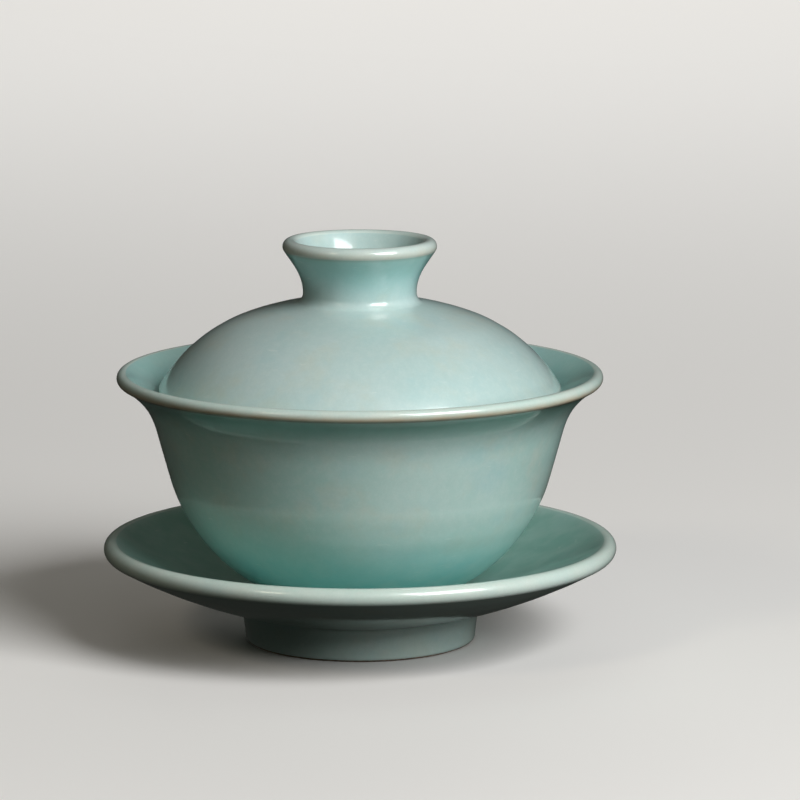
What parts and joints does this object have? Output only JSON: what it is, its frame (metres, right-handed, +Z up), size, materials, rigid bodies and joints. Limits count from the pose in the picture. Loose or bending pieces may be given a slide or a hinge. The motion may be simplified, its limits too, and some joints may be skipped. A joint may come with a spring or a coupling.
{
  "type": "gaiwan",
  "caption": "Covered tea bowl with a flared mouth, a domed lid with a hollow trumpet knob, and a wide footed saucer, in pale blue-green celadon glaze.",
  "frame": {"origin": "centre of the saucer's foot ring, on the surface that the saucer stands on", "axes": "+Z up along the common axis of the saucer, the bowl and the lid"},
  "size_m": [0.106, 0.106, 0.0835],
  "materials": {
    "saucer_glaze": "satin celadon glaze, thin and buff on the lip, over stoneware",
    "bowl_glaze": "satin celadon glaze, thin and buff on the lip, over stoneware",
    "lid_glaze": "satin celadon glaze, thin and buff on the lip, over stoneware"
  },
  "bodies": {
    "saucer": {"saucer": "saucer_glaze"},
    "bowl": {"bowl": "bowl_glaze"},
    "lid": {"lid": "lid_glaze"}
  },
  "joints": [
    {"name": "bowl_lift", "type": "slide", "parent": "saucer", "child": "bowl", "axis": [0, 0, 1], "range_m": [0, 0.03]},
    {"name": "lid_lift", "type": "slide", "parent": "bowl", "child": "lid", "axis": [0, 0, 1], "range_m": [0, 0.03]}
  ]
}
